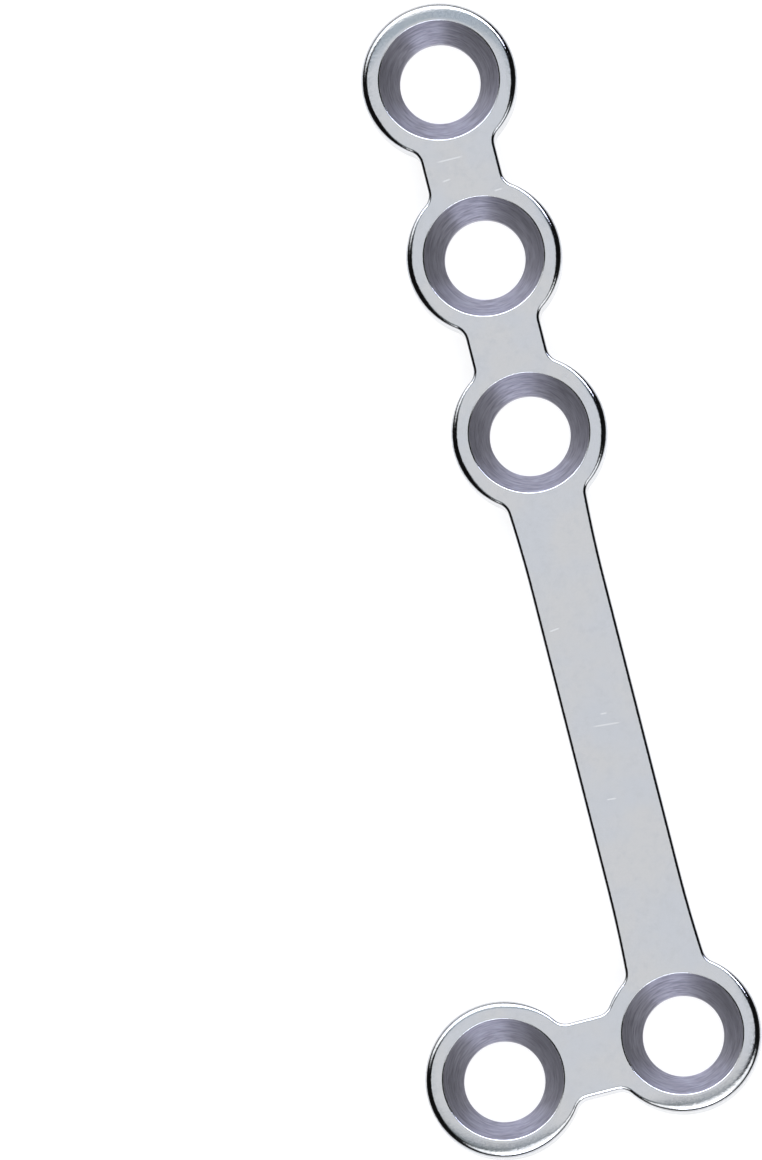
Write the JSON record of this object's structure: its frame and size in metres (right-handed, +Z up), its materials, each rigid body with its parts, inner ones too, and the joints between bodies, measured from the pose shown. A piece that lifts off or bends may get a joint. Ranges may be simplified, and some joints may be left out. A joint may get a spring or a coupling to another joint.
{
  "type": "orthopedic bone plate",
  "caption": "L-shaped bone plate: round countersunk eyelets on short necks, a long plain bar and a foot at a right angle, with rounded upper edges and a flat underside.",
  "frame": {"origin": "on the underside, midway along the plate's length and width", "axes": "+Y along the shaft from the corner hole to its free end, -X from the corner towards the foot, +Z up out of the countersinks"},
  "size_m": [0.011, 0.0374, 0.0013],
  "materials": {
    "polished_steel": "mirror-polished implant steel, with countersinks left as fine turned satin"
  },
  "bodies": {
    "root": {"bone_plate": "polished_steel"}
  },
  "joints": []
}
